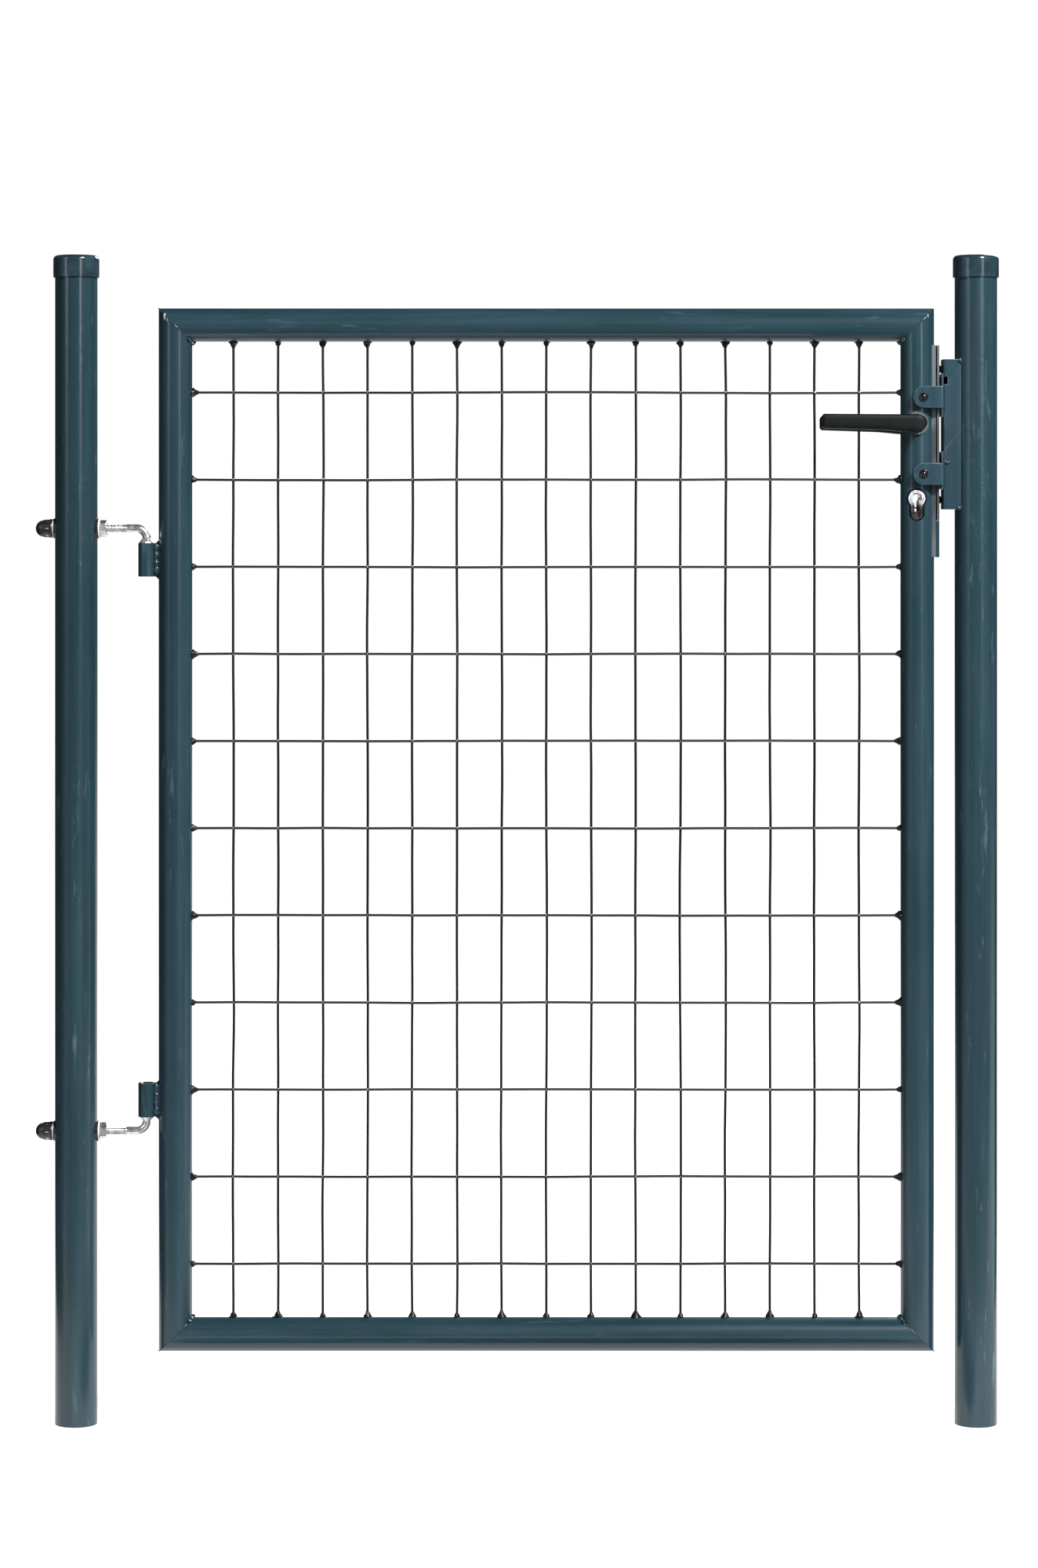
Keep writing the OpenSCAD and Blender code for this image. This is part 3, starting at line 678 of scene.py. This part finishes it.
sleeve_beads = Shape()
for z0, z1 in SLEEVES:
    for y, x, size in ((-0.0048, 0.0912, 0.0025), (0.0048, 0.0912, 0.0025), (-0.0060, 0.0948, 0.0016)):
        path = []
        for k in range(61):
            z = z0 + 0.003 + (z1 - z0 - 0.004) * k / 60
            path.append(Vector((x + 0.0004 * math.sin(k * 0.7), y, z)))

        def lobes(k, a, size=size):
            return size * (0.82 + 0.34 * abs(math.sin(math.pi * k / 15.0)))

        sleeve_beads.tube(path, lobes, 10)
sleeve_beads.object("sleeve_weld_beads", mats["leaf_paint"], "leaf", "leaf_paint", angle=60)
rims = Shape()
for z0, z in SLEEVES:
    rims.ring_part((HINGE_X, 0, z), (0, 0, 1),
        [(0.0, 0.0064), (0.0, 0.0096), (0.00012, 0.0095), (0.00012, 0.0065)], 40)
rims.object("sleeve_rims", mats["zinc"], "leaf", "leaf_paint")

# ---------------------------------------------------------------- lever handles


def between(points, x):
    """The straight-line value at x along a list of (x, value)."""
    for (xa, va), (xb, vb) in zip(points, points[1:]):
        if x <= xb:
            return va + (vb - va) * (x - xa) / (xb - xa)
    return points[-1][1]


def lever(shape, side, length):
    """Rounded lever, side -1 in front of the gate and +1 behind it."""
    mid = side * 0.0525
    eye_x, eye_z, eye = -0.0042, -0.0012, 0.0108
    upper = [(-length, 0.0073), (0.002 - length, 0.0098), (-0.020, 0.0093), (-0.006, 0.0094), (eye_x, 0.0096)]
    lower = [(-length, -0.0047), (0.002 - length, -0.0067), (-0.037, -0.0089), (-0.020, -0.0106),
        (-0.006, -0.0118)]
    lower.append((eye_x, -0.0120))
    xs = [d - length for d in (0.0, 0.0003, 0.0008, 0.0015, 0.0023, 0.0032, 0.005, 0.009, 0.016)]
    xs += [-0.085, -0.075, -0.065, -0.055, -0.046, -0.039, -0.033, -0.028, -0.023, -0.018, -0.013,
        -0.009, -0.006]
    xs += [eye_x + eye * math.sin(a) for a in (0.0, 0.2, 0.4, 0.6, 0.8, 1.0, 1.2, 1.35, 1.47)]
    rings = []
    for x in xs:
        if x < eye_x:
            top, low, deep = between(upper, x), between(lower, x), 0.0075
        else:
            round_off = math.sqrt(eye**2 - (x - eye_x) ** 2)
            top, low = eye_z + round_off, eye_z - round_off
            deep = 0.0045 + 0.0030 * round_off / eye
        end = min(1.0, (x + length + 0.0001) / 0.0036)
        pull = 0.0022 * (1 - math.sqrt(max(0.0, 1 - (1 - end) ** 2)))
        zc, hz = (top + low) / 2, (top - low) / 2 - pull * 0.3
        hy = deep - pull
        ring = []
        for j in range(40):
            a = 2 * math.pi * j / 40
            c, s = math.cos(a), math.sin(a)
            power = 2 / 4.5
            y = math.copysign(abs(c) ** power, c) * hy
            z = math.copysign(abs(s) ** power, s) * hz
            ring.append(Vector((LOCK_X + x, mid + y, HANDLE_Z + zc + z)))
        rings.append(ring)
    shape.rings(rings)
    shape.lathe(
        (LOCK_X, 0, HANDLE_Z),
        (0, side, 0),
        [(0.0088, 0.0), (0.0088, 0.0072), (0.0094, 0.0075), (0.038, 0.0075), (0.043, 0.0079),
            (0.046, 0.0086), (0.050, 0.0086), (0.050, 0.0)],
        48,
    )


for side, name in ((-1, "front"), (1, "rear")):
    grip = Shape()
    lever(grip, side, LEVER_LENGTH[name])
    grip.object(name + "_lever", mats["handle_black"], "handle_set", "handle_black", [name + "_handle"],
        angle=40)

# ---------------------------------------------------------------- striker side


def box_faces(shape, lo, hi):
    """Adds a box between two corners."""
    x0, y0, z0 = lo
    x1, y1, z1 = hi
    shape.rings(
        [
            [Vector((x0, y0, z0)), Vector((x1, y0, z0)), Vector((x1, y1, z0)), Vector((x0, y1, z0))],
            [Vector((x0, y0, z1)), Vector((x1, y0, z1)), Vector((x1, y1, z1)), Vector((x0, y1, z1))],
        ]
    )


def arc(cx, cy, r, a0, a1, n=6):
    """Points of an arc, with both its ends."""
    turns = [a0 + (a1 - a0) * k / n for k in range(n + 1)]
    return [(cx + r * math.cos(a), cy + r * math.sin(a)) for a in turns]


# painted highlight: the bevelled edges get paint far lighter than the plates, a light line along every edge,
# with pale flecks
edge_highlight_paint = paint("edge_highlight_paint", srgb(92, 120, 130), shine=(0.2, 0.35), scuffs=0.4)


def channel(name, z0, z1):
    """The folded channel, rounded at its bends, with its flanges cut to the post."""
    x0, half, wall, r = STRIKER_FACE, 0.015, 0.002, 0.0030
    reach = POST_X[1] - math.sqrt((POST_R + 0.00002) ** 2 - half**2)
    reach_in = POST_X[1] - math.sqrt((POST_R + 0.00002) ** 2 - (half - wall) ** 2)
    outer = [(reach, -half)] + list(reversed(arc(x0 + r, -half + r, r, math.pi, 1.5 * math.pi)))
    outer += list(reversed(arc(x0 + r, half - r, r, 0.5 * math.pi, math.pi)))
    outer += [(reach, half)]
    inner = [(reach_in, half - wall)] + arc(x0 + r, half - r, r - wall, 0.5 * math.pi, math.pi)
    inner += arc(x0 + r, -half + r, r - wall, math.pi, 1.5 * math.pi) + [(reach_in, -half + wall)]
    outline = outer + inner
    body = Shape()
    body.rings([[Vector((x, y, z0)) for x, y in outline], [Vector((x, y, z1)) for x, y in outline]])
    piece = body.object(name, mats["striker_paint"], "posts", "striker_paint", ["strike_channel"], angle=25)
    cuts = Shape()
    for lo, hi in (LATCH_WINDOW, DEAD_WINDOW):
        box_faces(cuts, (0.9795, -0.0088, lo), (0.9860, 0.0088, hi))
    box_faces(cuts, (0.9790, -0.0165, 1.1775), (0.9865, 0.0, 1.1865))
    cutter = bpy.data.objects.new("cutter", bpy.data.meshes.new("cutter"))
    cutter.data.from_pydata(cuts.verts, [], cuts.faces)
    scene.collection.objects.link(cutter)
    mod = piece.modifiers.new("cut", "BOOLEAN")
    mod.operation = "DIFFERENCE"
    mod.solver = "EXACT"
    mod.use_self = True
    mod.object = cutter
    bpy.context.view_layer.update()
    made = bpy.data.meshes.new_from_object(piece.evaluated_get(bpy.context.evaluated_depsgraph_get()))
    piece.modifiers.clear()
    piece.data = made
    bpy.data.objects.remove(cutter)
    # the rounded edges take the painted-highlight paint
    bevel(piece, 0.0004, 2, 50, edge_highlight_paint)
    return piece


channel("striker_channel", 1.036, 1.206)


def stop_tongue(name, z, z0, z1, node):
    """A stop plate: its leg lies on the striker, and its round tongue is bent forward over the stile."""
    x_tip, x_leg, thick, half = 0.947, 0.9797, 0.0018, 0.012
    y_out, y_leg = 0.0255, -0.0148
    tongue = Shape()
    turns = [math.pi / 2 + math.pi * k / 24 for k in range(25)]
    outline = [(x_tip + half + half * math.cos(a), half * math.sin(a)) for a in turns]
    bend = 0.0026
    flat_end = STRIKER_FACE - bend
    outline += [(flat_end, -half), (flat_end, half)]
    rows = []
    for y in (-y_out, -y_out + 0.002):
        rows.append([Vector((x, y, z + dz)) for x, dz in outline])
    tongue.rings(rows)

    def strip(xo, yo, xi, yi):
        low, high = z - half, z + half
        return [Vector((xo, yo, low)), Vector((xi, yi, low)), Vector((xi, yi, high)), Vector((xo, yo, high))]

    steps = 8
    rows = []
    for k in range(steps + 1):
        a = math.pi / 2 * k / steps
        c, s = math.cos(a), math.sin(a)
        xo, yo = flat_end - 0.0005 + (bend + 0.0005) * s, -y_out + bend - bend * c
        xi, yi = flat_end - 0.0005 + (bend + 0.0005 - thick) * s, -y_out + bend - (bend - 0.002) * c
        rows.append(strip(xo, yo, xi, yi))
    rows.append(strip(STRIKER_FACE, y_leg, x_leg, y_leg))
    tongue.rings(rows)
    gap = LATCH_WINDOW if z == TONGUE_Z[0] else DEAD_WINDOW
    box_faces(tongue, (x_leg, -0.0150, z0), (STRIKER_FACE, -0.0092, z1))
    box_faces(tongue, (x_leg, 0.0092, z0), (STRIKER_FACE, 0.0110, z1))
    box_faces(tongue, (x_leg, -0.0094, z0), (STRIKER_FACE, 0.0094, gap[0] - 0.0002))
    if gap[1] < z1:
        box_faces(tongue, (x_leg, -0.0094, gap[1] + 0.0002), (STRIKER_FACE, 0.0094, z1))
    piece = tongue.object(name, mats["striker_paint"], "posts", "striker_paint", [node], angle=25)
    # the rounded edges take the painted-highlight paint
    bevel(piece, 0.0005, 3, 50, edge_highlight_paint)
    return piece


stop_tongue("upper_stop_tongue", TONGUE_Z[0], 1.141, 1.1895, "upper_stop_plate")
stop_tongue("lower_stop_tongue", TONGUE_Z[1], 1.059, 1.1015, "lower_stop_plate")

pads = Shape()
for z in TONGUE_Z:
    profile = [(0.0193, 0.0), (0.0193, 0.0074), (0.0196, 0.0080), (0.0230, 0.0080), (0.0234, 0.0076),
        (0.0234, 0.0046)]
    profile += [(0.0256, 0.0046), (0.0256, 0.0049), (0.0260, 0.0052), (0.0266, 0.0050),
        (0.0268, 0.0046), (0.0264, 0.0036)]
    profile += [(0.0264 + 0.0022 * math.sin(a), 0.0034 * math.cos(a)) for a in (0.25, 0.5, 0.75, 1.0,
        1.25, 1.45)]
    profile.append((0.0286, 0.0))
    pads.lathe((0.9585, 0, z), (0, -1, 0), profile, 40)
pads.object("buffer_studs", mats["rubber"], "posts", "rubber", ["stop_buffers"], angle=50)

screws = Shape()
for z in (1.195, 1.047):
    profile = [(0.961, 0.0), (0.961, 0.0022), (0.9772, 0.0024), (0.9775, 0.0043), (0.9790, 0.0045)]
    profile += [(0.9790 + 0.0019 * math.sin(a), 0.0045 * math.cos(a)) for a in (0.3, 0.6, 0.9, 1.2)]
    profile.append((0.9809, 0.0))
    screws.lathe((0, 0, z), (1, 0, 0), profile, 32)
screws.object("plate_screw_heads", mats["black_screw"], "leaf", "zinc", ["plate_screws"], angle=50)

striker_beads = Shape()
for k, (x, z, r) in enumerate(
    ((1.0005, 1.2048, 0.0023), (1.0018, 1.2025, 0.0017), (0.9995, 1.0375, 0.0023), (1.0012, 1.0398, 0.0017))
):
    striker_beads.blob((x, -0.0152, z), (r, 0.0016, r), 100 + k, 0.6)
for k in range(4):
    bead = (0.9826 + 0.0019 * k, -0.0155, 1.0893 + 0.0006 * math.sin(k * 2.2))
    striker_beads.blob(bead, (0.0018, 0.0015, 0.0017), 120 + k, 0.6)
striker_beads.object("striker_welds", mats["striker_paint"], "posts", "striker_paint", angle=60)

# ---------------------------------------------------------------- studio


def staged(name, low, high, material, hidden=False):
    """A plain box of the studio. A hidden one shows in reflections only."""
    shape = Shape()
    box_faces(shape, low, high)
    mesh = bpy.data.meshes.new(name)
    mesh.from_pydata(shape.verts, [], shape.faces)
    mesh.materials.append(material)
    piece = bpy.data.objects.new(name, mesh)
    scene.collection.objects.link(piece)
    if hidden:
        piece.visible_camera = False
        piece.visible_shadow = False


def studio():
    """White paper, three hidden black flags, a sky with two bright strips, three soft boxes and a camera."""
    paper = bpy.data.materials.new("paper")
    paper.use_nodes = True
    tree = paper.node_tree
    tree.nodes.clear()
    out = tree.nodes.new("ShaderNodeOutputMaterial")
    add = tree.nodes.new("ShaderNodeAddShader")
    glow = tree.nodes.new("ShaderNodeEmission")
    glow.inputs["Strength"].default_value = 0.97
    matt = tree.nodes.new("ShaderNodeBsdfDiffuse")
    matt.inputs["Color"].default_value = (0.3, 0.3, 0.3, 1)
    tree.links.new(glow.outputs[0], add.inputs[0])
    tree.links.new(matt.outputs[0], add.inputs[1])
    tree.links.new(add.outputs[0], out.inputs["Surface"])
    staged("floor", (-7.0, -0.66, -0.02), (8.0, 12.0, -0.0004), paper)

    black = bpy.data.materials.new("flag_cloth")
    black.use_nodes = True
    black.node_tree.nodes["Principled BSDF"].inputs["Base Color"].default_value = (0.004, 0.004, 0.004, 1)
    black.node_tree.nodes["Principled BSDF"].inputs["Roughness"].default_value = 0.9
    staged("left_flag", (-0.56, -0.25, 0.0), (-0.54, 4.0, 2.4), black, hidden=True)
    staged("right_flag", (1.59, 0.25, 0.0), (1.61, 1.5, 2.4), black, hidden=True)
    staged("floor_flag", (0.1, -0.34, 0.002), (0.97, -0.08, 0.004), black, hidden=True)

    world = bpy.data.worlds.new("studio")
    scene.world = world
    world.use_nodes = True
    tree = world.node_tree
    tree.nodes.clear()
    out = tree.nodes.new("ShaderNodeOutputWorld")
    seen = tree.nodes.new("ShaderNodeBackground")
    seen.inputs["Color"].default_value = (1, 1, 1, 1)
    seen.inputs["Strength"].default_value = 1.05
    around = tree.nodes.new("ShaderNodeBackground")
    around.inputs["Strength"].default_value = 1.0
    path = tree.nodes.new("ShaderNodeLightPath")
    mix = tree.nodes.new("ShaderNodeMixShader")
    where = tree.nodes.new("ShaderNodeTexCoord")
    parts = tree.nodes.new("ShaderNodeSeparateXYZ")
    back = tree.nodes.new("ShaderNodeMath")
    back.operation = "MULTIPLY"
    back.inputs[1].default_value = -1.0
    turn = tree.nodes.new("ShaderNodeMath")
    turn.operation = "ARCTAN2"
    link = tree.links.new
    link(where.outputs["Generated"], parts.inputs[0])
    link(parts.outputs["Y"], back.inputs[0])
    link(parts.outputs["X"], turn.inputs[0])
    link(back.outputs[0], turn.inputs[1])

    def scale_ramp(socket, low, high, stops):
        """A faintly blue grey for each (value, grey) stop between low and high."""
        span = tree.nodes.new("ShaderNodeMapRange")
        span.inputs["From Min"].default_value = low
        span.inputs["From Max"].default_value = high
        ramp = tree.nodes.new("ShaderNodeValToRGB")
        while len(ramp.color_ramp.elements) < len(stops):
            ramp.color_ramp.elements.new(0.5)
        for element, (at, v) in zip(ramp.color_ramp.elements, stops):
            element.position = (at - low) / (high - low)
            element.color = (v * 0.98, v, v * 1.02, 1)
        link(socket, span.inputs["Value"])
        link(span.outputs["Result"], ramp.inputs["Fac"])
        return ramp.outputs["Color"]

    def combine(kind, a, b):
        n = tree.nodes.new("ShaderNodeMix")
        n.data_type = "RGBA"
        n.blend_type = kind
        n.inputs[0].default_value = 1.0
        link(a, n.inputs[6])
        link(b, n.inputs[7])
        return n.outputs[2]

    height = scale_ramp(parts.outputs["Z"], -1, 1, [
        (-1, 0.12), (-0.50, 0.18), (-0.22, 0.34), (-0.12, 0.22), (-0.05, 0.07), (0.04, 0.14),
        (0.18, 0.16), (0.29, 0.42), (0.40, 0.30), (0.55, 0.05), (1, 0.05),
    ])
    sides = scale_ramp(turn.outputs[0], -math.pi, math.pi, [
        (math.radians(d), v) for d, v in (
            (-180, 0.10), (-128, 0.10), (-112, 1.6), (-98, 2.0), (-62, 1.9), (-30, 1.1), (60, 1.1),
            (105, 1.1), (128, 0.35), (158, 0.35), (175, 0.9),
        )
    ])
    strips = scale_ramp(turn.outputs[0], -math.pi, math.pi, [
        (math.radians(d), v) for d, v in ((-180, 0), (-52, 0), (-48.5, 1.0), (-45.5, 1.0), (-42, 0),
            (23, 0), (26.5, 1.5), (30.5, 1.5), (34, 0), (180, 0))
    ])
    reach = scale_ramp(parts.outputs["Z"], -1, 1,
        [(-1, 0), (0.012, 0), (0.08, 1), (0.34, 1), (0.5, 0), (1, 0)])
    strong = tree.nodes.new("ShaderNodeVectorMath")
    strong.operation = "SCALE"
    strong.inputs["Scale"].default_value = 6.0
    link(combine("MULTIPLY", strips, reach), strong.inputs[0])
    link(combine("ADD", combine("MULTIPLY", height, sides), strong.outputs[0]), around.inputs["Color"])
    link(path.outputs["Is Camera Ray"], mix.inputs["Fac"])
    link(around.outputs[0], mix.inputs[1])
    link(seen.outputs[0], mix.inputs[2])
    link(mix.outputs[0], out.inputs["Surface"])

    def soft_box(name, place, aim, size, power):
        lamp = bpy.data.lights.new(name, "AREA")
        lamp.shape = "RECTANGLE"
        lamp.size, lamp.size_y = size
        lamp.energy = power
        holder = bpy.data.objects.new(name, lamp)
        holder.location = place
        holder.rotation_euler = (Vector(aim) - Vector(place)).to_track_quat("-Z", "Y").to_euler()
        holder.visible_camera = False
        scene.collection.objects.link(holder)

    soft_box("key_box", (3.0, -3.4, 4.0), (0.5, 0, 0.8), (0.5, 0.5), 510)
    soft_box("left_box", (-3.2, -2.6, 2.6), (0.3, 0, 0.9), (0.9, 1.6), 10)
    soft_box("back_box", (2.6, 4.2, 3.2), (0.5, 0, 0.8), (1.6, 1.6), 260)

    view = bpy.data.cameras.new("camera")
    view.lens = 93.14
    view.sensor_width = 36
    view.shift_y = -0.17
    view.clip_start = 0.05
    camera = bpy.data.objects.new("camera", view)
    camera.location = (0.502, -4.6, 1.027)
    camera.rotation_euler = (math.pi / 2, 0, 0)
    scene.collection.objects.link(camera)
    scene.camera = camera
    scene.view_settings.view_transform = "Standard"


studio()
